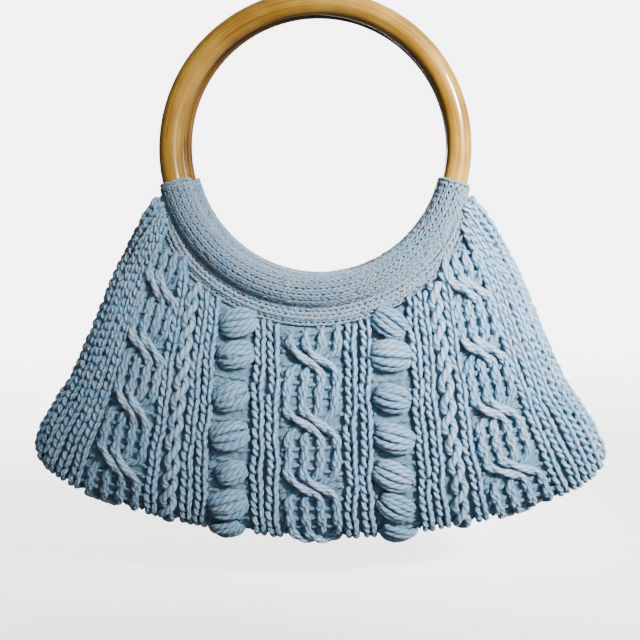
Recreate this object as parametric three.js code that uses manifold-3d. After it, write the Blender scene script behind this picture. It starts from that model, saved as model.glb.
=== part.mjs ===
// A crocheted purse carried on two round wooden rings, in millimetres, +Z up.
// The front faces -Y, and the back half is the front half turned half a turn about Z.
// The origin is where a hand carries it: midway between the rings, under the tops of their holes.
import * as THREE from "three";
import { mergeVertices } from "three/addons/utils/BufferGeometryUtils.js";
import Module from "manifold-3d";

const { degToRad, lerp, smoothstep } = THREE.MathUtils;
const wasm = await Module();
wasm.setup();

// Wooden rings: together in the hand, leaning apart below it
const RING_OUTER_DIAMETER = 152;
const RING_TUBE_DIAMETER = 12;
const RING_TOP_SPACING = 14.4;
const RING_LEAN = degToRad(4);
const RING_STEPS = 48;
const RING_SIDES = 9;

// Casings: a crocheted sleeve round the lower arc of each ring, closed below it into a flat band
const SLEEVE_HALF_ANGLE = degToRad(76);
const SLEEVE_BORE_RADIUS = 6.9;
const SLEEVE_OUTER_RADIUS = 8.5;
const SLEEVE_SIDES = 10;
const BAND_HALF_ANGLE = degToRad(70);
const BAND_THICKNESS = 4;
const BAND_OUTER_RADIUS = 87;
const BAND_RIDGE_RADIUS = 81.5;
const BAND_RIDGE_HALF_WIDTH = 2.2;
const BAND_RIDGE_LIFT = 1.4;
const BAND_ROOT = 0.7;
const CASING_STEPS = 18;

// Panels: a thick crocheted fan from the band to the bottom seam, each with a rolled side and bottom
const PANEL_GAP = 0.5;
const PANEL_THICKNESS = 5;
const SEAM_HALF_GAP = 0.2;
const TOP_SPREAD = 0.42;
const BOTTOM_DROP = 254.5;
const BOTTOM_ARC_RADIUS = 345;
const BOTTOM_HALF_WIDTH = 151;
const HALF_DEPTH = 24;
const FULL_DEPTH_SHARE = 0.55;
const SLIT_SHARE = 0.24;
const SIDE_ROUNDNESS = 2.6;
const BOTTOM_ROUNDNESS = 4;
const CORNER_PULL = 0.055;
const CORNER_SHARPNESS = 10;
const ROW_SHARES = [0, 0.1, 0.22, 0.35, 0.48, 0.61, 0.74, 0.85, 0.93, 0.98, 1];
// How far the side edge runs outside a straight line from the band to the bottom corner
const SIDE_EDGE = [
  { down: 0, out: 0 },
  { down: 0.1, out: -0.5 },
  { down: 0.27, out: -0.5 },
  { down: 0.5, out: -3.6 },
  { down: 0.68, out: -6 },
  { down: 0.85, out: -2 },
  { down: 1, out: 1 },
];

// Stitch columns from the middle of a panel to its side, in shares of its half width
const COLUMNS = [
  { kind: "half cable", width: 0.1, lift: 3.2 },
  { kind: "rib", width: 0.05, lift: 2.2 },
  { kind: "rib", width: 0.05, lift: 2.2 },
  { kind: "bobbles", width: 0.14, lift: 0 },
  { kind: "rib", width: 0.05, lift: 2.2 },
  { kind: "rib", width: 0.05, lift: 2.2 },
  { kind: "twist", width: 0.07, lift: 3 },
  { kind: "rib", width: 0.05, lift: 2.2 },
  { kind: "cable", width: 0.22, lift: 3.2 },
  { kind: "rib", width: 0.05, lift: 2.2 },
  { kind: "rib", width: 0.05, lift: 2.2 },
  { kind: "rib", width: 0.05, lift: 2.2 },
  { kind: "rib", width: 0.07, lift: 2.2 },
];
// Where each kind of column has its crests and hollows, in shares of its own width and lift
const CRESTS = {
  "half cable": [{ at: 0.55, rise: 1 }],
  rib: [{ at: 0.5, rise: 1 }],
  bobbles: [{ at: 0.5, rise: 0 }],
  twist: [{ at: 0.5, rise: 1 }],
  cable: [
    { at: 0.28, rise: 1 },
    { at: 0.5, rise: 0.45 },
    { at: 0.72, rise: 1 },
  ],
};
const CABLE_HEART_LIFT = 1.5;

// Bobbles: clusters of stitches drawn into lumps, stacked in a column each side of the middle cable
const BOBBLE_SHARE = 0.27;
const BOBBLE_ROW_SHARES = [0.07, 0.195, 0.385, 0.555, 0.72, 0.865, 0.98];
const BOBBLE_HALF_WIDTH = 9.4;
const BOBBLE_HALF_HEIGHT = 7.4;
const BOBBLE_LIFT = 7;
const BOBBLE_SIDES = 7;
const BOBBLE_RINGS = 4;

const MERGE_DISTANCE = 1e-4;
const PROBE = 1e-3;

const RING_TUBE_RADIUS = RING_TUBE_DIAMETER / 2;
const RING_RADIUS = RING_OUTER_DIAMETER / 2 - RING_TUBE_RADIUS;
const RING_CENTRE = new THREE.Vector3(
  0,
  -RING_TOP_SPACING / 2 - RING_RADIUS * Math.sin(RING_LEAN),
  RING_TUBE_RADIUS - RING_RADIUS * Math.cos(RING_LEAN),
);

const WOOD = new THREE.MeshStandardMaterial({ color: 0xc08c45, roughness: 0.35, metalness: 0 });
const YARN = new THREE.MeshStandardMaterial({ color: 0x93adbb, roughness: 0.9, metalness: 0 });
const CASING_YARN = new THREE.MeshStandardMaterial({ color: 0xa9bfca, roughness: 0.85, metalness: 0 });

// Solids and geometries

function solidOf(geometry) {
  const bare = geometry.clone();
  bare.deleteAttribute("normal");
  bare.deleteAttribute("uv");
  const merged = mergeVertices(bare, MERGE_DISTANCE);
  const vertProperties = merged.attributes.position.array;
  const triVerts = new Uint32Array(merged.index.array);
  return new wasm.Manifold(new wasm.Mesh({ numProp: 3, vertProperties, triVerts }));
}

function geometryOf(solid) {
  const mesh = solid.getMesh();
  const geometry = new THREE.BufferGeometry();
  geometry.setAttribute("position", new THREE.BufferAttribute(mesh.vertProperties, 3));
  geometry.setIndex(new THREE.BufferAttribute(mesh.triVerts, 1));
  geometry.computeVertexNormals();
  return geometry;
}

// A closed wall between two grids of points with the same rows and columns.
function wallBetween(outer, inner) {
  const rows = outer.length;
  const columns = outer[0].length;
  const points = [...outer.flat(), ...inner.flat()];
  const innerStart = rows * columns;
  const index = [];
  const quad = (a, b, c, d) => index.push(a, b, c, a, c, d);
  for (let row = 0; row + 1 < rows; row++) {
    for (let column = 0; column + 1 < columns; column++) {
      const corner = row * columns + column;
      const face = [corner, corner + columns, corner + columns + 1, corner + 1];
      quad(...face);
      quad(...face.map((point) => point + innerStart).reverse());
    }
  }
  const rim = rimOf(rows, columns);
  rim.forEach((point, place) => {
    const next = rim[(place + 1) % rim.length];
    quad(point, point + innerStart, next + innerStart, next);
  });
  const geometry = new THREE.BufferGeometry().setFromPoints(points);
  geometry.setIndex(index);
  return geometry;
}

// The points round the edge of a grid, down its first column, along its foot and back.
function rimOf(rows, columns) {
  const rim = [];
  for (let row = 0; row + 1 < rows; row++) rim.push(row * columns);
  for (let column = 0; column + 1 < columns; column++) rim.push((rows - 1) * columns + column);
  for (let row = rows - 1; row > 0; row--) rim.push(row * columns + columns - 1);
  for (let column = columns - 1; column > 0; column--) rim.push(column);
  return rim;
}

// Casings, in the ring's own plane: x across, y up, z to the front

class RingArc extends THREE.Curve {
  constructor(halfAngle) {
    super();
    this.halfAngle = halfAngle;
  }

  getPoint(share, target = new THREE.Vector3()) {
    const angle = lerp(-this.halfAngle, this.halfAngle, share);
    return target.set(RING_RADIUS * Math.sin(angle), -RING_RADIUS * Math.cos(angle), 0);
  }
}

// Sweeps a section along the ring. Its x points to the inside of the bag, its y to the ring's centre.
function sweptRound(section, halfAngle) {
  const path = new RingArc(halfAngle);
  return solidOf(new THREE.ExtrudeGeometry(section, { steps: CASING_STEPS, extrudePath: path }));
}

function circlePoints(radius, sides) {
  return new THREE.EllipseCurve(0, 0, radius, radius).getPoints(sides).slice(0, sides);
}

function sleeveSection() {
  const section = new THREE.Shape(circlePoints(SLEEVE_OUTER_RADIUS, SLEEVE_SIDES));
  section.holes.push(new THREE.Path(circlePoints(SLEEVE_BORE_RADIUS, SLEEVE_SIDES)));
  return section;
}

// The flat band under the sleeve, with the raised line of stitches that closes the fold.
function bandSection() {
  const half = BAND_THICKNESS / 2;
  const root = -SLEEVE_OUTER_RADIUS + BAND_ROOT;
  const ridge = RING_RADIUS - BAND_RIDGE_RADIUS;
  const foot = RING_RADIUS - BAND_OUTER_RADIUS;
  return new THREE.Shape([
    new THREE.Vector2(half, root),
    new THREE.Vector2(-half, root),
    new THREE.Vector2(-half, ridge + BAND_RIDGE_HALF_WIDTH),
    new THREE.Vector2(-half - BAND_RIDGE_LIFT, ridge),
    new THREE.Vector2(-half, ridge - BAND_RIDGE_HALF_WIDTH),
    new THREE.Vector2(-half, foot),
    new THREE.Vector2(half, foot),
  ]);
}

function casingGeometry() {
  const sleeve = sweptRound(sleeveSection(), SLEEVE_HALF_ANGLE);
  const band = sweptRound(bandSection(), BAND_HALF_ANGLE);
  return geometryOf(sleeve.add(band));
}

// Panels, in the frame of the bag's front half

function onRingPlane(radius, angle) {
  const down = radius * Math.cos(angle);
  return new THREE.Vector3(
    radius * Math.sin(angle),
    RING_CENTRE.y - down * Math.sin(RING_LEAN),
    RING_CENTRE.z - down * Math.cos(RING_LEAN),
  );
}

function onBottomArc(across) {
  const angle = across * Math.asin(BOTTOM_HALF_WIDTH / BOTTOM_ARC_RADIUS);
  const centreZ = BOTTOM_ARC_RADIUS - BOTTOM_DROP;
  return new THREE.Vector3(
    BOTTOM_ARC_RADIUS * Math.sin(angle),
    0,
    centreZ - BOTTOM_ARC_RADIUS * Math.cos(angle),
  );
}

// How far the side seam has closed at a share of the way down: 0 at the band, 1 under the slit.
function closed(down) {
  return smoothstep(down, 0, SLIT_SHARE);
}

function sideEdgeOut(down) {
  const next = Math.max(1, SIDE_EDGE.findIndex((row) => row.down >= down));
  const above = SIDE_EDGE[next - 1];
  const below = SIDE_EDGE[next];
  return lerp(above.out, below.out, (down - above.down) / (below.down - above.down));
}

// The middle of the fabric at a share across, -1 to 1, and a share down, 0 to 1.
function fabricMiddle(across, down) {
  const pull = 1 - CORNER_PULL * (Math.abs(across) * down) ** CORNER_SHARPNESS;
  const spread = 1 + TOP_SPREAD * (1 - Math.abs(across));
  const top = onRingPlane(BAND_OUTER_RADIUS + PANEL_GAP, across * spread * BAND_HALF_ANGLE);
  const foot = onBottomArc(across * pull);
  const point = top.clone().lerp(foot, down * pull);
  point.x += across ** 3 * sideEdgeOut(down);
  const sideRoll = (1 - Math.abs(across) ** SIDE_ROUNDNESS) ** (1 / SIDE_ROUNDNESS);
  const bottomRoll = (1 - down ** BOTTOM_ROUNDNESS) ** (1 / BOTTOM_ROUNDNESS);
  const depth = lerp(-top.y, HALF_DEPTH, smoothstep(down, 0, FULL_DEPTH_SHARE));
  const roll = lerp(1, sideRoll, closed(down)) * bottomRoll;
  point.y = -lerp(SEAM_HALF_GAP, depth, roll);
  return point;
}

// The way out of the fabric. On a closed seam it lies in the plane of the seam.
function fabricNormal(across, down) {
  const place = THREE.MathUtils.clamp(across, PROBE - 1, 1 - PROBE);
  const height = THREE.MathUtils.clamp(down, PROBE, 1 - PROBE);
  const along = fabricMiddle(place + PROBE, height).sub(fabricMiddle(place - PROBE, height));
  const downward = fabricMiddle(place, height + PROBE).sub(fabricMiddle(place, height - PROBE));
  const normal = downward.cross(along);
  if (Math.abs(across) === 1) normal.y *= 1 - closed(down);
  if (down === 1) normal.y = 0;
  return normal.normalize();
}

// The stitch columns' crests and hollows across the whole panel, each with its place and lift.
function columnLines() {
  const lines = [];
  let start = 0;
  for (const { kind, width, lift } of COLUMNS) {
    for (const { at, rise } of CRESTS[kind]) lines.push({ across: start + at * width, lift: rise * lift });
    start += width;
    lines.push({ across: Math.min(start, 1), lift: 0 });
  }
  lines.at(-1).across = 1;
  const mirrored = lines.map(({ across, lift }) => ({ across: -across, lift })).reverse();
  return [...mirrored, { across: 0, lift: CABLE_HEART_LIFT }, ...lines];
}

function fabricGrid(offsetAt) {
  return ROW_SHARES.map((down) =>
    columnLines().map(({ across, lift }) => {
      const offset = offsetAt(lift);
      return fabricMiddle(across, down).addScaledVector(fabricNormal(across, down), offset);
    }),
  );
}

function bobbleSolid(across, down) {
  const out = fabricNormal(across, down);
  const sideways = new THREE.Vector3().crossVectors(out, new THREE.Vector3(0, 0, 1)).normalize();
  const upward = new THREE.Vector3().crossVectors(sideways, out);
  const centre = fabricMiddle(across, down).addScaledVector(out, PANEL_THICKNESS / 2);
  const ball = new THREE.SphereGeometry(1, BOBBLE_SIDES, BOBBLE_RINGS);
  ball.scale(BOBBLE_HALF_WIDTH, BOBBLE_HALF_HEIGHT, BOBBLE_LIFT);
  ball.applyMatrix4(new THREE.Matrix4().makeBasis(sideways.negate(), upward, out).setPosition(centre));
  return solidOf(ball);
}

function panelGeometry() {
  const outer = fabricGrid((lift) => PANEL_THICKNESS / 2 + lift);
  const inner = fabricGrid(() => -PANEL_THICKNESS / 2);
  let panel = solidOf(wallBetween(outer, inner));
  for (const side of [-1, 1]) {
    for (const down of BOBBLE_ROW_SHARES) panel = panel.add(bobbleSolid(side * BOBBLE_SHARE, down));
  }
  return geometryOf(panel);
}

// The purse: two halves back to back

function namedMesh(name, geometry, material) {
  const mesh = new THREE.Mesh(geometry, material);
  mesh.name = name;
  return mesh;
}

function halfPurse(side) {
  const ringPlane = new THREE.Group();
  ringPlane.rotation.x = Math.PI / 2 - RING_LEAN;
  ringPlane.position.copy(RING_CENTRE);
  const torus = new THREE.TorusGeometry(RING_RADIUS, RING_TUBE_RADIUS, RING_SIDES, RING_STEPS);
  ringPlane.add(namedMesh(`${side}_ring`, torus, WOOD));
  ringPlane.add(namedMesh(`${side}_casing`, casingGeometry(), CASING_YARN));
  const half = new THREE.Group();
  half.add(ringPlane, namedMesh(`${side}_panel`, panelGeometry(), YARN));
  return half;
}

const purse = new THREE.Group();
const backHalf = halfPurse("back");
backHalf.rotation.z = Math.PI;
purse.add(halfPurse("front"), backHalf);

export default purse;
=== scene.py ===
# A crocheted purse on two wooden rings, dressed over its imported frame.
# Metres, +Z up, the front towards -Y. Each back piece is its front piece turned half round about Z.
import math

import bpy
import numpy as np
from mathutils import Matrix, Vector


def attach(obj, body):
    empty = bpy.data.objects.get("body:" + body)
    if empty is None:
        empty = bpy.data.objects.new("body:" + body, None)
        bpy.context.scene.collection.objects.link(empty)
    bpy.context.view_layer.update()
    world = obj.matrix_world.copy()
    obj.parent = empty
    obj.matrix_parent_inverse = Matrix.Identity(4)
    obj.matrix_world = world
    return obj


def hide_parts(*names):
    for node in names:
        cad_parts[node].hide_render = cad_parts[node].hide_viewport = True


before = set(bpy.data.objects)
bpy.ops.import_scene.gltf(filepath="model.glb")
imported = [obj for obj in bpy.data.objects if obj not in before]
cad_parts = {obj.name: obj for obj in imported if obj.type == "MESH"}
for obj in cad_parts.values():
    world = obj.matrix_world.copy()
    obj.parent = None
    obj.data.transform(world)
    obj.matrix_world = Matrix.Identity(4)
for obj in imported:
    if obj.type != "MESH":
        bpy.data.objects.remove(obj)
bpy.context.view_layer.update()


# Wooden rings: the two handles, each a rod of pale wood bent round, sanded smooth and varnished to a
# gloss. They hang together at their tops and lean apart below, so each lies in a plane of its own. The
# back one's wood is painted darker, as painted shade for the shade it lies in behind the front one.
RING_RADIUS = 0.070
RING_TUBE = 0.006
RING_LEAN = math.radians(4)
RING_TOP_SPACING = 0.0144
RING_SECTION_POINTS = 40
RING_STEPS = 240
WOOD_DEEP = (0.095, 0.034, 0.003, 1)
WOOD_HONEY = (0.33, 0.155, 0.013, 1)
WOOD_PALE = (0.66, 0.375, 0.060, 1)
WOOD_TONES = [(0.30, WOOD_DEEP), (0.47, WOOD_HONEY), (0.68, WOOD_PALE)]
WOOD_ROUGHNESS = 0.24
VARNISH = {"Coat Weight": 0.8, "Coat Roughness": 0.08, "Specular IOR Level": 0.2}
GRAIN_LENGTH = 0.045
GRAIN_WIDTH = 0.0007
GRAIN_SHARE = 0.55
GRAIN_ROUGHNESS = 0.14
GRAIN_STRENGTH = 0.12
GRAIN_DEPTH = 0.0003
BLOTCH_SCALE = 38
# Painted shade: the back ring's wood is darkened for the shade it lies in behind the front ring.
BACK_RING_PAINTED_SHADE = 0.13

RING_CENTRE = Vector((
    0,
    -RING_TOP_SPACING / 2 - RING_RADIUS * math.sin(RING_LEAN),
    RING_TUBE - RING_RADIUS * math.cos(RING_LEAN),
))
FRONT_RING_PLANE = Matrix.Translation(RING_CENTRE) @ Matrix.Rotation(math.pi / 2 - RING_LEAN, 4, "X")
HALF_TURN = Matrix.Rotation(math.pi, 4, "Z")


class Wire:
    """A shader socket. Sums on wires add Math nodes, and node() adds any other node beside it."""

    def __init__(self, socket):
        self.socket = socket

    def node(self, kind, settings=None, sockets=None, output=0):
        tree = self.socket.id_data
        made = tree.nodes.new(kind)
        for name, value in (settings or {}).items():
            if name == "stops":
                elements = made.color_ramp.elements
                while len(elements) < len(value):
                    elements.new(1)
                for element, (place, colour) in zip(elements, value):
                    element.position = place
                    element.color = colour
            else:
                setattr(made, name, value)
        for name, value in (sockets or {}).items():
            if isinstance(value, Wire):
                tree.links.new(value.socket, made.inputs[name])
            else:
                made.inputs[name].default_value = value
        return Wire(made.outputs[output])

    def math(self, operation, first, second=0):
        return self.node("ShaderNodeMath", {"operation": operation}, {0: first, 1: second})

    def __add__(self, other):
        return self.math("ADD", self, other)

    def __sub__(self, other):
        return self.math("SUBTRACT", self, other)

    def __mul__(self, other):
        return self.math("MULTIPLY", self, other)

    def __truediv__(self, other):
        return self.math("DIVIDE", self, other)

    def __rsub__(self, other):
        return self.math("SUBTRACT", other, self)

    __radd__ = __add__
    __rmul__ = __mul__


def new_finish(name, constants):
    """A material, its shader with the given constants, and the wire of its Object coordinates."""
    material = bpy.data.materials.new(name)
    material.use_nodes = True
    nodes = material.node_tree.nodes
    shader = nodes["Principled BSDF"]
    for socket, value in constants.items():
        shader.inputs[socket].default_value = value
    return material, shader, Wire(nodes.new("ShaderNodeTexCoord").outputs["Object"])


def feed(shader, socket, wire):
    """Leads a wire to a shader's socket."""
    wire.socket.id_data.links.new(wire.socket, shader.inputs[socket])


def parts(vector):
    """The three parts of a vector."""
    first = vector.node("ShaderNodeSeparateXYZ", sockets={0: vector})
    return [Wire(output) for output in first.socket.node.outputs]


def mottle(place, scale, detail):
    """A cloudy value that changes from place to place."""
    return place.node("ShaderNodeTexNoise", sockets={"Vector": place, "Scale": scale, "Detail": detail})


def tone(value, stops):
    """The colour that a value picks from a row of stops."""
    return value.node("ShaderNodeValToRGB", {"stops": stops}, {0: value})


def emboss(shader, height, strength, depth, hollow=False):
    """Raises a height out of the surface, or sinks it in as a hollow."""
    relief = height.node(
        "ShaderNodeBump",
        {"invert": hollow},
        {"Strength": strength, "Distance": depth, "Height": height},
    )
    feed(shader, "Normal", relief)


def varnished_wood(name, plane, painted_shade):
    """Wood darkened by a given painted shade, whose grain follows the bend of a ring that lies in the
    given plane.
    """
    material, shader, place = new_finish(name, VARNISH)
    inverse = plane.inverted()
    on_ring = place.node(
        "ShaderNodeMapping",
        sockets={"Vector": place, "Location": inverse.translation, "Rotation": inverse.to_euler()},
    )
    x, y, z = parts(on_ring)
    radius = x.math("SQRT", x * x + y * y)
    turns = RING_RADIUS / GRAIN_LENGTH
    along = on_ring.node(
        "ShaderNodeCombineXYZ",
        sockets={0: x / radius * turns, 1: y / radius * turns, 2: radius / GRAIN_WIDTH},
    )
    grain = along.node(
        "ShaderNodeTexNoise",
        {"noise_dimensions": "4D"},
        {"Vector": along, "W": z / GRAIN_WIDTH, "Scale": 1, "Detail": 3, "Roughness": 0.6},
    )
    blotch = mottle(place, BLOTCH_SCALE, 2)
    # The back ring's wood is darkened here by its painted shade.
    paleness = grain * GRAIN_SHARE + blotch * (1 - GRAIN_SHARE) - painted_shade
    feed(shader, "Base Color", tone(paleness, WOOD_TONES))
    feed(shader, "Roughness", WOOD_ROUGHNESS + grain * GRAIN_ROUGHNESS)
    emboss(shader, grain, GRAIN_STRENGTH, GRAIN_DEPTH)
    return material


def dress(piece, body, material):
    """Gives a finished piece its material and its body."""
    piece.data.materials.clear()
    piece.data.materials.append(material)
    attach(piece, body)


bpy.ops.object.select_all(action="DESELECT")
bpy.ops.mesh.primitive_circle_add(
    vertices=RING_SECTION_POINTS,
    radius=RING_TUBE,
    location=(RING_RADIUS, 0, 0),
    rotation=(math.pi / 2, 0, 0),
)
front_ring = bpy.context.object
front_ring.name = "front_ring_wood"
bpy.ops.object.transform_apply(location=True, rotation=True, scale=True)
bpy.ops.object.mode_set(mode="EDIT")
bpy.ops.mesh.select_all(action="SELECT")
bpy.ops.mesh.spin(steps=RING_STEPS, angle=2 * math.pi, center=(0, 0, 0), axis=(0, 0, 1))
bpy.ops.mesh.select_all(action="SELECT")
bpy.ops.mesh.remove_doubles(threshold=1e-6)
bpy.ops.mesh.normals_make_consistent(inside=False)
bpy.ops.object.mode_set(mode="OBJECT")
bpy.ops.object.shade_smooth()
front_ring.data.transform(FRONT_RING_PLANE)


def back_copy(piece):
    """The back half's own copy of a front piece, turned half round about Z."""
    copy = piece.copy()
    copy.data = piece.data.copy()
    copy.data.transform(HALF_TURN)
    copy.name = piece.name.replace("front", "back")
    bpy.context.collection.objects.link(copy)
    return copy


back_ring = back_copy(front_ring)
front_wood = varnished_wood("varnished_wood_front", FRONT_RING_PLANE, 0)
back_wood = varnished_wood("varnished_wood_back", HALF_TURN @ FRONT_RING_PLANE, BACK_RING_PAINTED_SHADE)
dress(front_ring, "front_ring", front_wood)
dress(back_ring, "back_ring", back_wood)
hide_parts("front_ring")
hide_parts("back_ring")


# Casings: a strip of fine crochet folded over the lower arc of each ring, its two layers closed below
# the ring into a flat band by one raised line of chain stitches. Its rows run along the ring, and a
# chain binds each open end of the sleeve.
SLEEVE_RADIUS = 0.0069
SLEEVE_HALF_ANGLE = math.radians(75)
BAND_HALF_ANGLE = math.radians(72)
BAND_FOOT = 0.0165
BAND_TAPER = 0.0060
BAND_TAPER_START = math.radians(45)
BAND_HALF_THICKNESS = 0.0012
STRIP_THICKNESS = 0.0006
SLEEVE_SECTION_POINTS = 48
CASING_STEPS = 64
FOLD_POINTS = 60
LAYER_POINTS = 10
CASING_ROW_SPACING = 0.0027
CASING_ROW_WIDTH = 0.0031
CASING_HAND = {"pitch": 0.0029, "unevenness": 0.08}
CASING_YARN = 0.00070
CASING_LIFT = 0.00025
CROOK_LIFT = 0.0006
CASING_RISE = 0.0002
RIDGE_PLACE = 0.0118
RIDGE_WIDTH = 0.0036
RIDGE_YARN = 0.00095
RIDGE_LIFT = 0.0008
END_SEAM_START = 0.93
END_SEAM_POINTS = 5


def select_points(piece, wanted):
    """Goes into edit mode with only those points of a piece selected whose place is wanted."""
    bpy.ops.object.mode_set(mode="EDIT")
    bpy.ops.mesh.select_mode(type="VERT")
    bpy.ops.mesh.select_all(action="DESELECT")
    bpy.ops.object.mode_set(mode="OBJECT")
    for vertex in piece.data.vertices:
        vertex.select = wanted(vertex.co)
    bpy.ops.object.mode_set(mode="EDIT")


def ease(share):
    """A share from 0 to 1 that starts and ends gently."""
    share = np.clip(share, 0, 1)
    return share * share * (3 - 2 * share)


def band_reach(away, angle):
    """How far a row of the band lies from the middle of the ring's tube. It narrows to its two ends."""
    past_start = (np.abs(angle) - BAND_TAPER_START) / (BAND_HALF_ANGLE - BAND_TAPER_START)
    narrowing = BAND_TAPER * ease(past_start)
    return away - narrowing * np.clip((away - SLEEVE_RADIUS) / (BAND_FOOT - SLEEVE_RADIUS), 0, 1)


def past_band_end(place):
    """True of the places below the sleeve that lie beyond the two ends of the band."""
    angle = abs(math.atan2(place.x, -place.y))
    return math.hypot(place.x, place.y) > RING_RADIUS + SLEEVE_RADIUS and angle > BAND_HALF_ANGLE


def harden(piece, name, thickness, offset):
    """Gives a sheet its thickness."""
    wall = piece.modifiers.new(name, "SOLIDIFY")
    wall.thickness = thickness
    wall.offset = offset
    bpy.ops.object.modifier_apply(modifier=wall.name)
    bpy.ops.object.shade_smooth()


bpy.ops.object.select_all(action="DESELECT")
bpy.ops.mesh.primitive_circle_add(
    vertices=SLEEVE_SECTION_POINTS,
    radius=SLEEVE_RADIUS,
    location=(0, -RING_RADIUS, 0),
    rotation=(0, math.pi / 2, 0),
)
casing_strip = bpy.context.object
casing_strip.name = "front_casing_strip"
bpy.ops.object.transform_apply(location=True, rotation=True, scale=True)
select_points(casing_strip, lambda place: place.y < -RING_RADIUS and abs(place.z) < BAND_HALF_THICKNESS)
bpy.ops.mesh.delete(type="VERT")
bpy.ops.object.mode_set(mode="OBJECT")
lowest = min(casing_strip.data.vertices, key=lambda vertex: vertex.co.y).co.copy()
select_points(casing_strip, lambda place: place.y < lowest.y + 1e-5)
bpy.ops.transform.resize(value=(1, 1, BAND_HALF_THICKNESS / abs(lowest.z)), center_override=(0, 0, 0))
bpy.ops.mesh.extrude_vertices_move(
    TRANSFORM_OT_translate={"value": (0, -RING_RADIUS - BAND_FOOT - lowest.y, 0)}
)
bpy.ops.mesh.select_all(action="SELECT")
bpy.ops.transform.rotate(value=-SLEEVE_HALF_ANGLE, orient_axis="Z", center_override=(0, 0, 0))
bpy.ops.mesh.spin(steps=CASING_STEPS, angle=2 * SLEEVE_HALF_ANGLE, center=(0, 0, 0), axis=(0, 0, 1))
bpy.ops.object.mode_set(mode="OBJECT")
select_points(casing_strip, past_band_end)
bpy.ops.mesh.delete(type="VERT")
bpy.ops.object.mode_set(mode="OBJECT")
for vertex in casing_strip.data.vertices:
    radius = math.hypot(vertex.co.x, vertex.co.y)
    reach = band_reach(radius - RING_RADIUS, math.atan2(vertex.co.x, -vertex.co.y))
    vertex.co.xy = vertex.co.xy * (RING_RADIUS + reach) / radius
harden(casing_strip, "strip_wall", STRIP_THICKNESS, -1)
casing_strip.data.transform(FRONT_RING_PLANE)


def unit(ways):
    """The same ways, each one unit long."""
    return ways / np.linalg.norm(ways, axis=-1, keepdims=True)


def run_along(lines):
    """How far along its line each point lies."""
    steps = np.linalg.norm(np.diff(lines, axis=-2), axis=-1)
    return np.concatenate([np.zeros_like(steps[..., :1]), np.cumsum(steps, axis=-1)], axis=-1)


WALE_LEAD = 4


class Wale:
    """A line of stitches on the fabric, measured along its run, with its ways aside and out."""

    def __init__(self, points, outs, widths=None):
        lead = points[0] - (points[1] - points[0]) * WALE_LEAD
        tail = points[-1] + (points[-1] - points[-2]) * WALE_LEAD
        self.points = np.concatenate([[lead], points, [tail]])
        self.outs = np.concatenate([outs[:1], outs, outs[-1:]])
        runs = run_along(self.points)
        self.runs = runs - runs[1]
        self.length = self.runs[-2]
        self.asides = unit(np.cross(self.outs, np.gradient(self.points, axis=0)))
        self.widths = None if widths is None else np.concatenate([widths[:1], widths, widths[-1:]])

    def read(self, run, rows):
        return np.stack([np.interp(run, self.runs, rows[:, axis]) for axis in range(3)], axis=-1)

    def width(self, run):
        return np.interp(run, self.runs, self.widths)

    def at(self, run, aside, lift):
        """Points at a run down the wale, a step aside and a lift off the fabric, and their ways out."""
        run, aside, lift = np.broadcast_arrays(run, aside, lift)
        outs = self.read(run, self.outs)
        points = self.read(run, self.points) + aside[..., None] * self.read(run, self.asides)
        return points + lift[..., None] * outs, outs


YARN_LUMPS = 0.05
STITCH_RANDOM = np.random.default_rng(5)
BAKE_MAP = "OFBake"
BAKE_TUBE_LENGTH = 0.84
BAKE_CAPS = ((0.93, 0.25), (0.93, 0.75))
BAKE_CAP_RADIUS = 0.06
BAKE_MARGIN = 0.04


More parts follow.
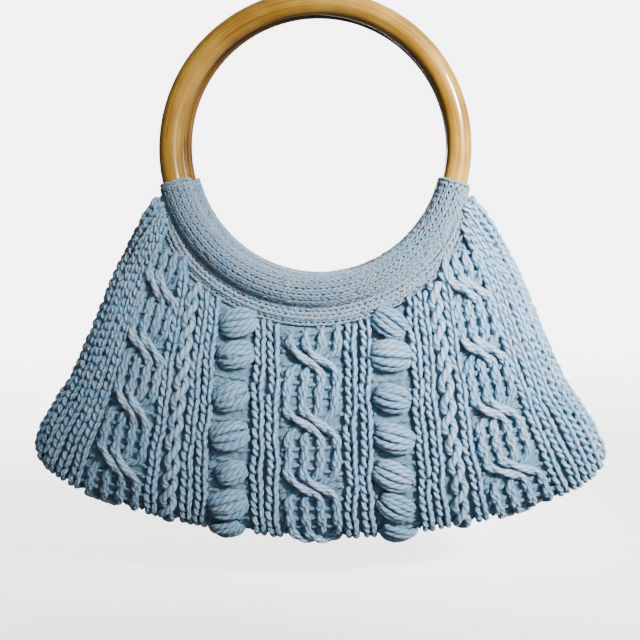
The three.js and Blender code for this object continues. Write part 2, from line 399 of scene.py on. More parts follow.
class Skein:
    """Lengths of yarn laid as closed tubes, then joined into one mesh."""

    def __init__(self):
        self.points = []
        self.faces = []
        self.crests = []
        self.yarn_places = []
        self.bake_places = []
        self.bake_cells = []
        self.point_count = 0
        self.strand_count = 0

    def lay(self, lines, outs, lifts, radius, sides):
        """Lays strands along lines of points. The lifts are the points' heights off the fabric."""
        strands, stations = lines.shape[:2]
        lumps = 1 + YARN_LUMPS * STITCH_RANDOM.standard_normal((strands, stations)).clip(-2, 2)
        radius = np.broadcast_to(radius, (strands, stations)) * lumps
        lifts = np.broadcast_to(lifts, (strands, stations))
        along = unit(np.gradient(lines, axis=1))
        aside = unit(np.cross(along, outs))
        up = np.cross(aside, along)
        turn = np.pi + np.arange(sides) * 2 * np.pi / sides
        ring = up[:, :, None] * np.cos(turn)[:, None] + aside[:, :, None] * np.sin(turn)[:, None]
        points = lines[:, :, None] + radius[:, :, None, None] * ring
        upness = (ring * outs[:, :, None]).sum(axis=3)
        self.points.append(points.reshape(-1, 3))
        self.crests.append((lifts[:, :, None] + radius[:, :, None] * upness).ravel())

        ids = self.point_count + np.arange(strands * stations * sides).reshape(strands, stations, sides)
        beside = np.roll(ids, -1, axis=2)
        quads = np.stack([ids[:, :-1], beside[:, :-1], beside[:, 1:], ids[:, 1:]], axis=-1)
        self.faces += quads.reshape(-1, 4).tolist()
        self.faces += ids[:, 0, ::-1].tolist() + ids[:, -1].tolist()

        run = run_along(lines)
        start = np.broadcast_to(run[:, :-1, None], quads.shape[:3])
        end = np.broadcast_to(run[:, 1:, None], quads.shape[:3])
        low = np.broadcast_to(np.arange(sides) / sides, quads.shape[:3])
        corners = [(start, low), (start, low + 1 / sides), (end, low + 1 / sides), (end, low)]
        yarn = np.stack([np.stack(corner, axis=-1) for corner in corners], axis=-2)
        self.yarn_places += [yarn.reshape(-1, 2), np.zeros((2 * strands * sides, 2))]

        tube = yarn.copy()
        tube[..., 0] *= BAKE_TUBE_LENGTH / run[:, -1, None, None, None]
        cap = BAKE_CAP_RADIUS * np.stack([np.cos(turn), np.sin(turn)], axis=1)
        caps = [np.tile(cap + middle, (strands, 1)) for middle in BAKE_CAPS]
        self.bake_places += [tube.reshape(-1, 2), *caps]
        cells = self.strand_count + np.arange(strands)
        tube_corners = 4 * (stations - 1) * sides
        self.bake_cells += [cells.repeat(count) for count in (tube_corners, sides, sides)]
        self.point_count += strands * stations * sides
        self.strand_count += strands

    def wind(self, name):
        """The joined mesh: a map along and round the yarn, a bake map with a cell for each strand, and
        each point's height off the fabric as its crest."""
        mesh = bpy.data.meshes.new(name)
        mesh.from_pydata(np.concatenate(self.points).tolist(), [], self.faces)
        mesh.uv_layers.new(name="yarn").data.foreach_set("uv", np.concatenate(self.yarn_places).ravel())
        cells_across = math.ceil(math.sqrt(self.strand_count))
        cells = np.concatenate(self.bake_cells)
        corners = np.stack([cells % cells_across, cells // cells_across], axis=1)
        in_cell = BAKE_MARGIN + (1 - 2 * BAKE_MARGIN) * np.concatenate(self.bake_places)
        bake = (corners + in_cell) / cells_across
        mesh.uv_layers.new(name=BAKE_MAP).data.foreach_set("uv", bake.ravel())
        # The crest sets the yarn's painted shade in its finish.
        crest = mesh.attributes.new("crest", "FLOAT", "POINT")
        crest.data.foreach_set("value", np.concatenate(self.crests))
        mesh.shade_smooth()
        piece = bpy.data.objects.new(name, mesh)
        bpy.context.collection.objects.link(piece)
        return piece


STITCH_REACH = 1.36
STITCH_FOOT = 0.07
STITCH_FLARE = 0.31
STITCH_BOW = 0.07
STITCH_TIP = 0.6
STITCH_FULLNESS = 0.8


def lay_chain(skein, wale, width, yarn, lift, rise, pitch, unevenness, stations=7, sides=6):
    """Lays a chain of V stitches down a wale, the foot of each V tucked into the open top of the next."""
    count = max(1, round(wale.length / pitch))
    pitch = wale.length / count
    centre = (np.arange(count)[:, None] + 0.5) * pitch
    share = np.linspace(0, 1, stations)
    arch = np.sin(np.pi * share)
    taper = np.where((share == 0) | (share == 1), STITCH_TIP, 1)
    for side in (-1, 1):
        wander = unevenness * STITCH_RANDOM.standard_normal((3, count, 1))
        run = centre + pitch * (STITCH_REACH * (0.5 - share) + wander[0])
        spread = width(run) if callable(width) else width
        opening = STITCH_FOOT + STITCH_FLARE * share + STITCH_BOW * arch
        height = lift + rise * arch**STITCH_FULLNESS + yarn * wander[2]
        lines, outs = wale.at(run, side * spread * opening + yarn * wander[1], height)
        skein.lay(lines, outs, height, yarn * taper, sides)


RING_AXES = np.array(FRONT_RING_PLANE.to_3x3()).T


def ring_way(angle, front, away):
    """A way at an angle round the ring from its lowest point, in parts forward and from its centre."""
    angle, front, away = np.broadcast_arrays(angle, front, away)
    return np.stack([away * np.sin(angle), -away * np.cos(angle), front], axis=-1) @ RING_AXES


def ring_place(angle, front, away):
    """A place on the casing, measured from the middle of the ring's tube."""
    return np.array(RING_CENTRE) + ring_way(angle, front, RING_RADIUS + away)


def strip_section():
    """The folded strip's section, front foot to back foot: its front and away steps, and its ways out."""
    opening = math.asin(BAND_HALF_THICKNESS / SLEEVE_RADIUS)
    turn = np.linspace(opening, 2 * math.pi - opening, FOLD_POINTS)
    straight = np.linspace(BAND_FOOT, SLEEVE_RADIUS * math.cos(opening), LAYER_POINTS)[:-1]
    layer = np.full(len(straight), BAND_HALF_THICKNESS)
    front = np.concatenate([layer, SLEEVE_RADIUS * np.sin(turn), -layer])
    away = np.concatenate([straight, SLEEVE_RADIUS * np.cos(turn), straight[::-1]])
    points = np.stack([front, away], axis=1)
    way = np.gradient(points, axis=0)
    return points, unit(np.stack([-way[:, 1], way[:, 0]], axis=1))


casing_skein = Skein()
section, section_outs = strip_section()
section_run = run_along(section)
row_count = round(section_run[-1] / CASING_ROW_SPACING)
for row in range(row_count):
    place = (row + 0.5) * section_run[-1] / row_count
    front, away, out_front, out_away = (
        np.interp(place, section_run, column) for column in (*section.T, *section_outs.T)
    )
    half_angle = SLEEVE_HALF_ANGLE if away < SLEEVE_RADIUS else BAND_HALF_ANGLE
    angle = np.linspace(-half_angle, half_angle, CASING_STEPS)
    wale = Wale(ring_place(angle, front, band_reach(away, angle)), ring_way(angle, out_front, out_away))
    in_crook = abs(away - SLEEVE_RADIUS) < CASING_YARN
    row_lift = CASING_LIFT + CROOK_LIFT * in_crook
    lay_chain(
        casing_skein, wale, CASING_ROW_WIDTH, CASING_YARN, row_lift, CASING_RISE, **CASING_HAND,
        stations=5, sides=5,
    )
angle = np.linspace(-BAND_HALF_ANGLE, BAND_HALF_ANGLE, CASING_STEPS)
ridge_points = ring_place(angle, BAND_HALF_THICKNESS, band_reach(RIDGE_PLACE, angle))
ridge = Wale(ridge_points, ring_way(angle, 1, 0))
lay_chain(casing_skein, ridge, RIDGE_WIDTH, RIDGE_YARN, RIDGE_LIFT, CASING_RISE, **CASING_HAND)
on_sleeve = section[:, 1] < SLEEVE_RADIUS
for end_angle in (-SLEEVE_HALF_ANGLE, SLEEVE_HALF_ANGLE):
    sleeve_end = Wale(
        ring_place(end_angle, *section[on_sleeve].T),
        ring_way(end_angle, *section_outs[on_sleeve].T),
    )
    angle = np.linspace(end_angle * END_SEAM_START, end_angle, END_SEAM_POINTS)
    end_seam = Wale(ring_place(angle, 0, SLEEVE_RADIUS), ring_way(angle, 0, 1))
    for wale in (sleeve_end, end_seam):
        lay_chain(casing_skein, wale, RIDGE_WIDTH, CASING_YARN, CASING_LIFT, CASING_RISE, **CASING_HAND)
casing_stitches = casing_skein.wind("front_casing_stitches")


# Painted shade: the yarn is darker the lower it lies in the fabric, palest on its crests.
CASING_PAINTED_RECESS_SHADE = (0.14, 0.210, 0.268, 1)
CASING_MIDDLE = (0.185, 0.275, 0.352, 1)
CASING_CREST = (0.26, 0.352, 0.435, 1)
CASING_CREST_HEIGHT = 0.00115
CASING_PLY_PITCH = 0.0018
YARN_SURFACE = {"Sheen Weight": 0.25, "Sheen Roughness": 0.5, "Specular IOR Level": 0.2}
YARN_ROUGHNESS = 0.78
FIBRE_ROUGHNESS = 0.2
YARN_PLIES = 3
FIBRES_IN_PLY = 8
FIBRE_RELIEF = 0.5
FIBRE_STRETCH = 0.8
FIBRE_CONTRAST = 0.7
PATCH_SCALE = 60
PATCH_CONTRAST = 0.6
HEATHER_SCALE = 240
HEATHER_COOL = (0.80, 0.98, 1.06, 1)
HEATHER_WARM = (1.10, 0.98, 0.93, 1)
GROOVE_PAINTED_SHADE = (0.30, 0.42, 0.50, 1)
GROOVE_STRENGTH = 0.9
PLY_STRENGTH = 0.8
PLY_DEPTH = 0.16


def blend_colours(how, share, first, second):
    """A colour laid over another in a way that Mix knows."""
    return first.node(
        "ShaderNodeMix",
        {"data_type": "RGBA", "blend_type": how},
        {0: share, 6: first, 7: second},
        output=2,
    )


def yarn_finish(name, painted_recess_shade, middle, crest, crest_height, ply_pitch):
    """Plied yarn, heathered cool and warm, and fibrous, with painted shade that darkens it deep in the
    fabric and leaves it pale on its crests.
    """
    material, shader, place = new_finish(name, YARN_SURFACE)
    height = place.node("ShaderNodeAttribute", {"attribute_name": "crest"}, output=2)
    along, round_yarn, _ = parts(place.node("ShaderNodeUVMap", {"uv_map": "yarn"}))
    lay = along / ply_pitch + round_yarn * YARN_PLIES
    ply = lay.math("ABSOLUTE", lay.math("SINE", lay * math.pi))
    streaks = lay.node(
        "ShaderNodeCombineXYZ",
        sockets={0: lay * FIBRES_IN_PLY, 1: along * (FIBRE_STRETCH / ply_pitch)},
    )
    fibre = mottle(streaks, 1, 2)
    patch = mottle(place, PATCH_SCALE, 3)
    heather = mottle(place, HEATHER_SCALE, 2)
    depth = height / crest_height + (patch - 0.5) * PATCH_CONTRAST + (fibre - 0.5) * FIBRE_CONTRAST
    # Painted shade from the height off the fabric, with random tone from the patches and fibres.
    painted_depth_shade = tone(depth, [(0.0, painted_recess_shade), (0.55, middle), (1.0, crest)])
    tint = tone(heather, [(0.38, HEATHER_COOL), (0.62, HEATHER_WARM)])
    heathered = blend_colours("MULTIPLY", 1, painted_depth_shade, tint)
    groove = 1 - ply
    # Painted shade: the grooves between the plies are darkened.
    painted_groove_shade = blend_colours("MULTIPLY", groove * groove * GROOVE_STRENGTH, heathered, GROOVE_PAINTED_SHADE)
    feed(shader, "Base Color", painted_groove_shade)
    feed(shader, "Roughness", YARN_ROUGHNESS + fibre * FIBRE_ROUGHNESS)
    emboss(shader, ply + fibre * FIBRE_RELIEF, PLY_STRENGTH, PLY_DEPTH * ply_pitch)
    return material


def finish_both_halves(piece, material, node):
    """Finishes a front piece and its back copy, each in place of its own half's node of the frame."""
    halves = {"front": piece, "back": back_copy(piece)}
    for side, half in halves.items():
        dress(half, "bag", material)
        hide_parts(f"{side}_{node}")
    return halves


casing_yarn = yarn_finish(
    "fine_casing_yarn", CASING_PAINTED_RECESS_SHADE, CASING_MIDDLE, CASING_CREST, CASING_CREST_HEIGHT, CASING_PLY_PITCH
)
strips = finish_both_halves(casing_strip, casing_yarn, "casing")
stitches = finish_both_halves(casing_stitches, casing_yarn, "casing")


# Bag panels: two thick crocheted fans, worked down from the casings and seamed together down the sides
# and along the bottom, with a slit at the top of each side. This is the plain ground, dark outside as
# painted shade.
PANEL_GAP = 0.001
TOP_SPREAD = 0.42
BOTTOM_DROP = 0.2545
BOTTOM_ARC_RADIUS = 0.345
BOTTOM_HALF_WIDTH = 0.151
HALF_DEPTH = 0.024
FULL_DEPTH_SHARE = 0.55
SLIT_SHARE = 0.24
SEAM_HALF_GAP = 0.0002
SIDE_ROUNDNESS = 2.6
BOTTOM_ROUNDNESS = 4
CORNER_PULL = 0.055
CORNER_SHARPNESS = 10
SIDE_EDGE_DOWN = (0, 0.1, 0.27, 0.5, 0.68, 0.85, 1)
SIDE_EDGE_OUT = (-0.002, 0.0, 0.0005, -0.0036, -0.006, -0.002, 0.001)
YARN_INSET = 0.001
GROUND_THICKNESS = 0.0030
GROUND_MIDDLE = -0.0006
GROUND_GRID = (120, 60)
PROBE = 1e-3


def fabric_middle(across, down):
    """The middle of the front fabric at a share across, -1 to 1, and a share down, 0 to 1."""
    across, down = np.broadcast_arrays(np.asarray(across, float), np.asarray(down, float))
    pull = 1 - CORNER_PULL * (np.abs(across) * down) ** CORNER_SHARPNESS
    top_angle = across * (1 + TOP_SPREAD * (1 - np.abs(across))) * BAND_HALF_ANGLE
    top_radius = RING_RADIUS + band_reach(BAND_FOOT, top_angle) + PANEL_GAP
    fall = top_radius * np.cos(top_angle)
    top_x = top_radius * np.sin(top_angle)
    top_y = RING_CENTRE.y - fall * math.sin(RING_LEAN)
    top_z = RING_CENTRE.z - fall * math.cos(RING_LEAN)
    foot_angle = across * pull * math.asin(BOTTOM_HALF_WIDTH / BOTTOM_ARC_RADIUS)
    foot_x = BOTTOM_ARC_RADIUS * np.sin(foot_angle)
    foot_z = BOTTOM_ARC_RADIUS * (1 - np.cos(foot_angle)) - BOTTOM_DROP
    share = down * pull
    side_out = across**3 * (np.interp(down, SIDE_EDGE_DOWN, SIDE_EDGE_OUT) - YARN_INSET)
    side_roll = (1 - np.abs(across) ** SIDE_ROUNDNESS) ** (1 / SIDE_ROUNDNESS)
    bottom_roll = (1 - down**BOTTOM_ROUNDNESS) ** (1 / BOTTOM_ROUNDNESS)
    roll = (1 + (side_roll - 1) * ease(down / SLIT_SHARE)) * bottom_roll
    depth = -top_y + (HALF_DEPTH + top_y) * ease(down / FULL_DEPTH_SHARE)
    x = top_x + (foot_x - top_x) * share + side_out
    y = -SEAM_HALF_GAP - (depth - SEAM_HALF_GAP) * roll
    z = top_z + (foot_z - top_z) * share
    return np.stack([x, y, z], axis=-1)


def fabric_out(across, down):
    """The way out of the front fabric. Near a closed seam it lies in the plane of the seam."""
    place = np.clip(across, PROBE - 1, 1 - PROBE)
    height = np.clip(down, PROBE, 1 - PROBE)
    aside = fabric_middle(place + PROBE, height) - fabric_middle(place - PROBE, height)
    downward = fabric_middle(place, height + PROBE) - fabric_middle(place, height - PROBE)
    return unit(np.cross(downward, aside))


# The grid is drawn closer towards the sides and the bottom, where the fabric rolls to its seam.
bpy.ops.object.select_all(action="DESELECT")
bpy.ops.mesh.primitive_grid_add(x_subdivisions=GROUND_GRID[0], y_subdivisions=GROUND_GRID[1], size=2)
front_ground = bpy.context.object
front_ground.name = "front_panel_ground"
flat = np.array([vertex.co for vertex in front_ground.data.vertices])
ground_across = np.sin(flat[:, 0] * math.pi / 2)
ground_down = np.sin((1 - flat[:, 1]) * math.pi / 4)
ground_outs = fabric_out(ground_across, ground_down)
ground_points = fabric_middle(ground_across, ground_down) + GROUND_MIDDLE * ground_outs
front_ground.data.vertices.foreach_set("co", ground_points.ravel())
bpy.ops.object.mode_set(mode="EDIT")
bpy.ops.mesh.select_all(action="SELECT")
bpy.ops.mesh.normals_make_consistent(inside=False)
bpy.ops.object.mode_set(mode="OBJECT")
harden(front_ground, "ground_wall", GROUND_THICKNESS, 0)
both_faces = np.array([vertex.co for vertex in front_ground.data.vertices]).reshape(2, -1, 3)
on_inside = ((both_faces - ground_points) * ground_outs).sum(axis=2) < 0
inside = front_ground.data.attributes.new("inside", "FLOAT", "POINT")
inside.data.foreach_set("value", on_inside.ravel().astype(float))


# Painted shade: the outside of the ground is dark blue-green for the shade that falls between the raised
# columns.
GROUND_PAINTED_SHADE = (0.105, 0.195, 0.255, 1)
PANEL_PAINTED_RECESS_SHADE = (0.125, 0.240, 0.318, 1)
PANEL_MIDDLE = (0.185, 0.345, 0.475, 1)
PANEL_CREST = (0.370, 0.505, 0.630, 1)
GROUND_SURFACE = {"Sheen Weight": 0.3, "Sheen Roughness": 0.5}
GROUND_ROUGHNESS = 0.8
GROUND_STITCHES = {"Scale": 260, "Smoothness": 0.4, "Randomness": 0.55}
GROUND_FIBRE_SCALE = 1500
GROUND_FIBRE_CONTRAST = 0.4
GROUND_FIBRE_RELIEF = 0.15
GROUND_STRENGTH = 0.9
GROUND_DEPTH = 0.0015


def ground_finish():
    """The backs of the stitches, in short rows, darkened outside to a deep blue-green as painted shade
    for the hollows between the raised columns, and paler on the inside of the bag, where no painted shade
    is put."""
    material, shader, place = new_finish("ground_yarn", GROUND_SURFACE)
    rows = place.node(
        "ShaderNodeTexVoronoi",
        {"feature": "SMOOTH_F1"},
        {"Vector": place, **GROUND_STITCHES},
    )
    fibre = mottle(place, GROUND_FIBRE_SCALE, 2)
    depth = rows + (fibre - 0.5) * GROUND_FIBRE_CONTRAST
    outside_painted_shade = tone(depth, [(0.1, PANEL_PAINTED_RECESS_SHADE), (0.7, GROUND_PAINTED_SHADE)])
    inside_tone = tone(depth, [(0.1, PANEL_CREST), (0.7, PANEL_MIDDLE)])
    on_inside = place.node("ShaderNodeAttribute", {"attribute_name": "inside"}, output=2)
    feed(shader, "Base Color", blend_colours("MIX", on_inside, outside_painted_shade, inside_tone))
    feed(shader, "Roughness", GROUND_ROUGHNESS + fibre * FIBRE_ROUGHNESS)
    emboss(shader, rows + fibre * GROUND_FIBRE_RELIEF, GROUND_STRENGTH, GROUND_DEPTH, hollow=True)
    return material


grounds = finish_both_halves(front_ground, ground_finish(), "panel")


# Raised columns: the ribs of V stitches that fan out over each panel, from the middle to the rolled side.
# Each is worked in thick plied yarn round the posts of the row before, so it stands off the ground.
COLUMNS = (
    ("half cable", 0.10), ("rib", 0.05), ("rib", 0.05), ("bobbles", 0.14), ("rib", 0.05), ("rib", 0.05),
    ("twist", 0.07), ("rib", 0.05), ("cable", 0.22), ("rib", 0.05), ("rib", 0.05), ("rib", 0.05),
)
COLUMN_WIDTHS = np.array([width for _, width in COLUMNS])
COLUMN_MIDDLES = np.cumsum(COLUMN_WIDTHS) - COLUMN_WIDTHS / 2
SIDE_ROLL_RIBS = (0.951, 0.9865)
SIDE_ROLL_RIB_WIDTH = 0.0062
WALE_POINTS = 90
WALE_BUNCHING = 1.8
WALE_WANDER = 0.0035
WALE_WAVES = ((5, 1), (11, 0.6))
WALE_STEADINESS = 8
PANEL_HAND = {"pitch": 0.0044, "unevenness": 0.10}
RIB_NARROWING = 0.77
RIB_YARN = 0.00130
RIB_LIFT = 0.0008
RIB_RISE = 0.0024
PANEL_CREST_HEIGHT = 0.0052
PANEL_PLY_PITCH = 0.0040


def panel_wale(across, width_share):
    """A column of the panel at a share across, wandering a little as hand work does, with its widths."""
    share = np.linspace(0, 1, WALE_POINTS)
    down = 1 - (1 - share) ** WALE_BUNCHING
    phases = STITCH_RANDOM.uniform(0, 2 * np.pi, len(WALE_WAVES))
    wander = sum(
        size * np.sin(waves * np.pi * down + phase) for (waves, size), phase in zip(WALE_WAVES, phases)
    )
    across = across + WALE_WANDER * (1 - abs(across) ** WALE_STEADINESS) * wander
    aside = fabric_middle(across + PROBE, down) - fabric_middle(across - PROBE, down)
    widths = np.linalg.norm(aside, axis=1) / (2 * PROBE) * width_share
    return Wale(fabric_middle(across, down), fabric_out(across, down), widths)


def both_sides(kind):
    """The middles of the columns of a kind on both halves of the panel, with their widths."""
    for (name, width), middle in zip(COLUMNS, COLUMN_MIDDLES):
        if name == kind:
            yield middle, width
            yield -middle, width


ribs = Skein()
for across, width in both_sides("rib"):
    wale = panel_wale(across, width * RIB_NARROWING)
    lay_chain(ribs, wale, wale.width, RIB_YARN, RIB_LIFT, RIB_RISE, **PANEL_HAND)
for place in SIDE_ROLL_RIBS:
    for across in (-place, place):
        wale = panel_wale(across, 0)
        lay_chain(ribs, wale, SIDE_ROLL_RIB_WIDTH, RIB_YARN, RIB_LIFT, RIB_RISE, **PANEL_HAND)

panel_yarn = yarn_finish(
    "thick_panel_yarn", PANEL_PAINTED_RECESS_SHADE, PANEL_MIDDLE, PANEL_CREST, PANEL_CREST_HEIGHT, PANEL_PLY_PITCH
)
raised = [finish_both_halves(ribs.wind("front_panel_ribs"), panel_yarn, "panel")]


# Cables: posts that cross over each other on their way down, the left pair always in front of the right,
# and pairs of posts that twist like a cord. Each post is two lengths of yarn laid together.
CABLE_POSTS = 4
MIDDLE_CABLE = {"first": 0.008, "repeat": 0.031}
MIDDLE_CABLE_WIDTH = 0.20
SIDE_CABLE = {"first": 0.012, "repeat": 0.030}
CROSSING_LENGTH = 0.015
CROSSING_RISE = 0.0022
CROSSING_SINK = 0.0016
POST_YARN = 0.00150
POST_HALF_GAP = 0.00115
POST_FLATNESS = 0.55
POST_TWIST = 0.016
POST_LIFT = 0.0022
POST_STEP = 0.0014
POST_SIDES = 7
END_TUCK = 0.004
TWIST_REPEAT = 0.020
TWIST_REACH = 0.27
TWIST_LIFT = 0.0025
TWIST_RISE = 0.0013
TWIST_YARN = 0.001875
TWIST_SIDES = 8
RUNG_PITCH = 0.0052
RUNG_YARN = 0.0012
RUNG_LIFT = 0.0008
RUNG_WAVE = 0.0007
RUNG_WAVES = 4
RUNG_STATIONS = 13
RUNG_SIDES = 5


def lay_post(skein, wale, run, aside, lift):
    """Lays two yarns together along a post, slowly twisted round each other."""
    for phase in (0, math.pi):
        angle = 2 * np.pi * run / POST_TWIST + phase
        height = lift + POST_FLATNESS * POST_HALF_GAP * np.sin(angle)
        lines, outs = wale.at(run, aside + POST_HALF_GAP * np.cos(angle), height)
        skein.lay(lines[None], outs[None], height[None], POST_YARN, POST_SIDES)


def lay_cable(skein, wale, posts, first, repeat):
    """Lays a cable: at each crossing the posts on the left pass over the posts on the right."""
    run = np.arange(0, wale.length, POST_STEP)
    slot_width = wale.width(run) / posts
    half = posts // 2
    for post in range(posts):
        slot = np.full_like(run, post - (posts - 1) / 2)
        lift = np.full_like(run, POST_LIFT)
        on_left = post < half
        for start in np.arange(first, wale.length, repeat):
            share = np.clip((run - start) / CROSSING_LENGTH, 0, 1)
            slot += (half if on_left else -half) * ease(share)
            lift += (CROSSING_RISE if on_left else -CROSSING_SINK) * np.sin(np.pi * share)
            on_left = not on_left
        tuck = ease(run / END_TUCK) * ease((wale.length - run) / END_TUCK)
        lay_post(skein, wale, run, slot * slot_width, lift * tuck)


def lay_twist(skein, wale):
    """Lays a pair of posts that wind round each other down a narrow column."""
    run = np.arange(0, wale.length, POST_STEP)
    for phase in (0, math.pi):
        angle = 2 * np.pi * run / TWIST_REPEAT + phase
        height = TWIST_LIFT + TWIST_RISE * np.sin(angle)
        lines, outs = wale.at(run, TWIST_REACH * wale.width(run) * np.cos(angle), height)
        skein.lay(lines[None], outs[None], height[None], TWIST_YARN, TWIST_SIDES)


def lay_rungs(skein, wale, lift):
    """Lays the low rows of the ground that show between posts and behind bobbles."""
    count = round(wale.length / RUNG_PITCH)
    run = (np.arange(count)[:, None] + 0.5) * wale.length / count
    share = np.linspace(-0.5, 0.5, RUNG_STATIONS)
    height = lift + RUNG_WAVE * np.cos(2 * np.pi * RUNG_WAVES * share)
    lines, outs = wale.at(run, wale.width(run) * share, height)
    skein.lay(lines, outs, height, RUNG_YARN, RUNG_SIDES)


cables = Skein()
middle_wale = panel_wale(0.0, MIDDLE_CABLE_WIDTH)
lay_cable(cables, middle_wale, CABLE_POSTS, **MIDDLE_CABLE)
lay_rungs(cables, middle_wale, RUNG_LIFT)
for across, width in both_sides("cable"):
    wale = panel_wale(across, width)
    lay_cable(cables, wale, CABLE_POSTS, **SIDE_CABLE)
    lay_rungs(cables, wale, RUNG_LIFT)
for across, width in both_sides("twist"):
    lay_twist(cables, panel_wale(across, width))
raised.append(finish_both_halves(cables.wind("front_panel_cables"), panel_yarn, "panel"))


# Bobbles: clusters of tall stitches worked in one place and drawn together, so they puff out of the
# fabric in two columns beside the middle cable. Each slants a little its own way.
BOBBLE_DOWN = (0.05, 0.195, 0.385, 0.555, 0.72, 0.865, 0.98)
BOBBLE_HALF_WIDTH = 0.0088
BOBBLE_HALF_HEIGHT = 0.0061
BOBBLE_LIFT = 0.0052
BOBBLE_BASE = 0.0014
BOBBLE_SLANT = math.radians(18)
BOBBLE_SLANT_SPREAD = 0.5
BOBBLE_SIZE_SPREAD = 0.05
BOBBLE_PLACE_SPREAD = 0.005
BOBBLE_STRANDS = 5
BOBBLE_STRAND = 0.0017
BOBBLE_STRAND_END = 0.7
BOBBLE_SWEEP = math.radians(80)
BOBBLE_SWING = math.radians(66)
BOBBLE_GATHER = 0.3
BOBBLE_STATIONS = 13
BOBBLE_SIDES = 8
BOBBLE_PAINTED_SHADE_SCALE = 0.4
STRAND_SHIFT = 0.07
STRAND_SLANT = 0.10
STRAND_PUFF = 0.08
BOBBLE_CORE = 0.0036
BOBBLE_CORE_REACH = 0.8
BOBBLE_CORE_HEIGHT = 0.4
BOBBLE_CORE_PAINTED_SHADE_SCALE = -0.3
BOBBLE_RUNG_LIFT = 0.0006


def lay_on_bobble(skein, centre, basis, reach, steps, thickness, shade):
    """Lays strands given as steps aside, up and out from a bobble's centre, with crests scaled by a
    factor that sets their painted shade.
    """
    outs = unit((steps / reach**2) @ basis)
    # The lifts are scaled by the shade factor to set the yarn's painted shade, so they are not true
    # heights.
    lifts = shade * (BOBBLE_BASE + steps[..., 2])
    skein.lay(centre + steps @ basis, outs, lifts, thickness, BOBBLE_SIDES)


def lay_bobble(skein, across, down):
    """Lays one bobble: strands drawn together at both ends over a soft core, its outer end lower."""
    slant = 1 + BOBBLE_SLANT_SPREAD * STITCH_RANDOM.standard_normal()
    slant *= -math.copysign(BOBBLE_SLANT, across)
    size = 1 + BOBBLE_SIZE_SPREAD * STITCH_RANDOM.standard_normal()
    across = across + BOBBLE_PLACE_SPREAD * STITCH_RANDOM.standard_normal()
    out = fabric_out(across, down)
    level = unit(np.cross((0, 0, 1), out))
    steep = np.cross(out, level)
    aside = level * math.cos(slant) + steep * math.sin(slant)
    upward = steep * math.cos(slant) - level * math.sin(slant)
    basis = np.stack([aside, upward, out])
    centre = fabric_middle(across, down) + BOBBLE_BASE * out
    reach = size * np.array([BOBBLE_HALF_WIDTH, BOBBLE_HALF_HEIGHT, BOBBLE_LIFT])
    sweep = np.linspace(-BOBBLE_SWEEP, BOBBLE_SWEEP, BOBBLE_STATIONS)
    swing = np.linspace(-BOBBLE_SWING, BOBBLE_SWING, BOBBLE_STRANDS)[:, None]
    wander = STITCH_RANDOM.standard_normal((3, BOBBLE_STRANDS, 1))
    swing = swing + STRAND_SHIFT * wander[0] + STRAND_SLANT * wander[1] * np.sin(sweep)
    spread = BOBBLE_GATHER + (1 - BOBBLE_GATHER) * np.cos(sweep)
    puff = np.cos(sweep) * np.sqrt(np.cos(swing)) * (1 + STRAND_PUFF * wander[2])
    strands = np.stack([np.sin(sweep) + 0 * swing, np.sin(swing) * spread, puff], axis=-1) * reach
    fullness = BOBBLE_STRAND_END + (1 - BOBBLE_STRAND_END) * np.cos(sweep)
    lay_on_bobble(skein, centre, basis, reach, strands, BOBBLE_STRAND * size * fullness, BOBBLE_PAINTED_SHADE_SCALE)
    core = np.zeros((1, BOBBLE_STATIONS, 3))
    core[..., 0] = BOBBLE_CORE_REACH * np.sin(sweep)
    core[..., 2] = BOBBLE_CORE_HEIGHT
    roundness = BOBBLE_CORE * np.cos(sweep)
    lay_on_bobble(skein, centre, basis, reach, core * reach, roundness, BOBBLE_CORE_PAINTED_SHADE_SCALE)


bobbles = Skein()
for across, width in both_sides("bobbles"):
    lay_rungs(bobbles, panel_wale(across, width), BOBBLE_RUNG_LIFT)
    for down in BOBBLE_DOWN:
        lay_bobble(bobbles, across, down)
raised.append(finish_both_halves(bobbles.wind("front_panel_bobbles"), panel_yarn, "panel"))


# Edging and seam: a chain of the thick yarn worked along both edges of each slit, and one that joins the
# two panels down the sides and along the bottom.
EDGING_WIDTH = 0.0052
EDGING_YARN = 0.0014
EDGING_POINTS = 30
EDGING_INSET = 0.98
SEAM_WIDTH = 0.0075
SEAM_YARN = 0.0015
SEAM_LIFT = 0.0006
SEAM_RISE = 0.0008
SEAM_SIDE_POINTS = 60
SEAM_BOTTOM_POINTS = 160
SEAM_EASINGS = 8

edging = Skein()
slit_down = np.linspace(0, SLIT_SHARE, EDGING_POINTS)
for side in (-1, 1):
    edge = fabric_middle(side, slit_down)
    wale = Wale(edge, unit(edge - fabric_middle(side * EDGING_INSET, slit_down)))
    lay_chain(edging, wale, EDGING_WIDTH, EDGING_YARN, 0, SEAM_RISE, **PANEL_HAND)
raised.append(finish_both_halves(edging.wind("front_panel_edging"), panel_yarn, "panel"))

side_down = np.linspace(SLIT_SHARE, 1, SEAM_SIDE_POINTS)
seam_line = np.concatenate([
    fabric_middle(-1, side_down),
    fabric_middle(np.linspace(-1, 1, SEAM_BOTTOM_POINTS), 1)[1:-1],
    fabric_middle(1, side_down[::-1]),
])
seam_line[:, 1] = 0
for _ in range(SEAM_EASINGS):
    seam_line[1:-1] = (seam_line[:-2] + 2 * seam_line[1:-1] + seam_line[2:]) / 4
seam_outs = unit(np.cross((0, 1, 0), np.gradient(seam_line, axis=0)))
seam = Skein()
lay_chain(seam, Wale(seam_line, seam_outs), SEAM_WIDTH, SEAM_YARN, SEAM_LIFT, SEAM_RISE, **PANEL_HAND)
seam_chain = seam.wind("seam_chain")
dress(seam_chain, "bag", panel_yarn)
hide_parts("front_panel", "back_panel")


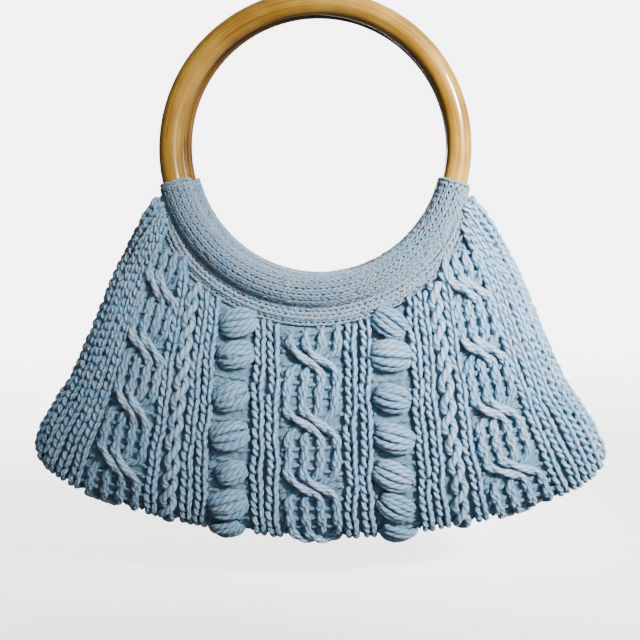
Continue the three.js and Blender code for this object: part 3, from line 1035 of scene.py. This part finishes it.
# Stage: a plain pale floor that fades into a white surround, soft light from the right, and the camera.
# The floor and the surround throw no light of their own on the purse.
FLOOR_DROP = 0.285
FLOOR_RADIUS = 1.2
FLOOR_FADE_START = 0.3
FLOOR_PAPER = {
    "Base Color": (0.9, 0.9, 0.9, 1),
    "Roughness": 0.9,
    "Emission Color": (1, 1, 1, 1),
    "Emission Strength": 2.2,
}
SURROUND_RADIUS = 6
SURROUND_GLOW = {
    "Base Color": (0, 0, 0, 1),
    "Emission Color": (1, 1, 1, 1),
    "Emission Strength": 6,
}
SKY_LOW = (0.10, 0.10, 0.10, 1)
SKY_HIGH = (1, 0.99, 0.975, 1)
SKY_STRENGTH = 0.86
SKY_AHEAD = 0.16
SKY_RIGHTWARD = 0.60
SKY_UPWARD = 0.3
VIEW_AZIMUTH = math.radians(4.5)
VIEW_ELEVATION = math.radians(5.5)
VIEW_DISTANCE = 0.66
VIEW_TARGET = Vector((0.002, 0, -0.149))
VIEW_WIDTH = 0.32
SENSOR = 36

bpy.ops.object.select_all(action="DESELECT")
bpy.ops.mesh.primitive_circle_add(
    vertices=96, radius=FLOOR_RADIUS, fill_type="NGON", location=(0, 0, -FLOOR_DROP)
)
floor = bpy.context.object
floor.name = "floor"
bpy.ops.object.transform_apply(location=True)
paper, paper_shader, paper_place = new_finish("pale_floor", FLOOR_PAPER)
from_middle = paper_place.node(
    "ShaderNodeVectorMath", {"operation": "LENGTH"}, {0: paper_place}, output=1
)
fade = from_middle.node(
    "ShaderNodeMapRange",
    {"interpolation_type": "SMOOTHSTEP"},
    {
        "Value": from_middle,
        "From Min": FLOOR_FADE_START,
        "From Max": FLOOR_RADIUS,
        "To Min": 1,
        "To Max": 0,
    },
)
feed(paper_shader, "Alpha", fade)
floor.data.materials.append(paper)

bpy.ops.object.select_all(action="DESELECT")
bpy.ops.mesh.primitive_uv_sphere_add(segments=48, ring_count=24, radius=SURROUND_RADIUS)
surround = bpy.context.object
surround.name = "white_surround"
bpy.ops.object.mode_set(mode="EDIT")
bpy.ops.mesh.flip_normals()
bpy.ops.object.mode_set(mode="OBJECT")
bpy.ops.object.shade_smooth()
surround.visible_shadow = False
white, _, _ = new_finish("white_surround", SURROUND_GLOW)
surround.data.materials.append(white)
for backdrop in (floor, surround):
    backdrop.visible_diffuse = False
    backdrop.visible_glossy = False

world = bpy.data.worlds.new("soft_studio")
bpy.context.scene.world = world
world.use_nodes = True
sky = world.node_tree.nodes["Background"]
way = Wire(world.node_tree.nodes.new("ShaderNodeTexCoord").outputs["Generated"])
rightward, _, upward = parts(way)
bright_side = SKY_AHEAD + SKY_RIGHTWARD * rightward + SKY_UPWARD * upward
feed(sky, "Color", tone(bright_side, [(0, SKY_LOW), (1, SKY_HIGH)]))
sky.inputs["Strength"].default_value = SKY_STRENGTH


def hang_light(name, kind, place, aim, power, colour, settings):
    """A lamp of a kind, hung at a place and aimed, with the settings of its own kind."""
    light = bpy.data.lights.new(name, kind)
    light.energy = power
    light.color = colour
    for setting, value in settings.items():
        setattr(light, setting, value)
    lamp = bpy.data.objects.new(name, light)
    lamp.location = place
    lamp.rotation_euler = (Vector(aim) - Vector(place)).to_track_quat("-Z", "Y").to_euler()
    bpy.context.collection.objects.link(lamp)


hang_light(
    "key_light",
    "SPOT",
    place=(0.62, -0.62, 0.28),
    aim=(0.148, 0, -0.082),
    power=270,
    colour=(0.97, 0.99, 1),
    settings={"spot_size": math.radians(20), "spot_blend": 0.5, "shadow_soft_size": 0.14},
)
hang_light(
    "fill_light",
    "AREA",
    place=(0.8, -1.0, 0.25),
    aim=VIEW_TARGET,
    power=3,
    colour=(0.95, 0.98, 1),
    settings={"size": 0.6},
)
hang_light(
    "rear_light",
    "AREA",
    place=(-0.25, 1.15, 0.4),
    aim=VIEW_TARGET,
    power=24,
    colour=(0.98, 0.99, 1),
    settings={"size": 0.9},
)

lens = bpy.data.cameras.new("photo_view")
lens.sensor_width = SENSOR
lens.lens = SENSOR * VIEW_DISTANCE / VIEW_WIDTH
camera = bpy.data.objects.new("photo_view", lens)
camera.location = VIEW_TARGET + VIEW_DISTANCE * Vector((
    math.sin(VIEW_AZIMUTH) * math.cos(VIEW_ELEVATION),
    -math.cos(VIEW_AZIMUTH) * math.cos(VIEW_ELEVATION),
    math.sin(VIEW_ELEVATION),
))
camera.rotation_euler = (VIEW_TARGET - camera.location).to_track_quat("-Z", "Y").to_euler()
bpy.context.collection.objects.link(camera)
bpy.context.scene.camera = camera
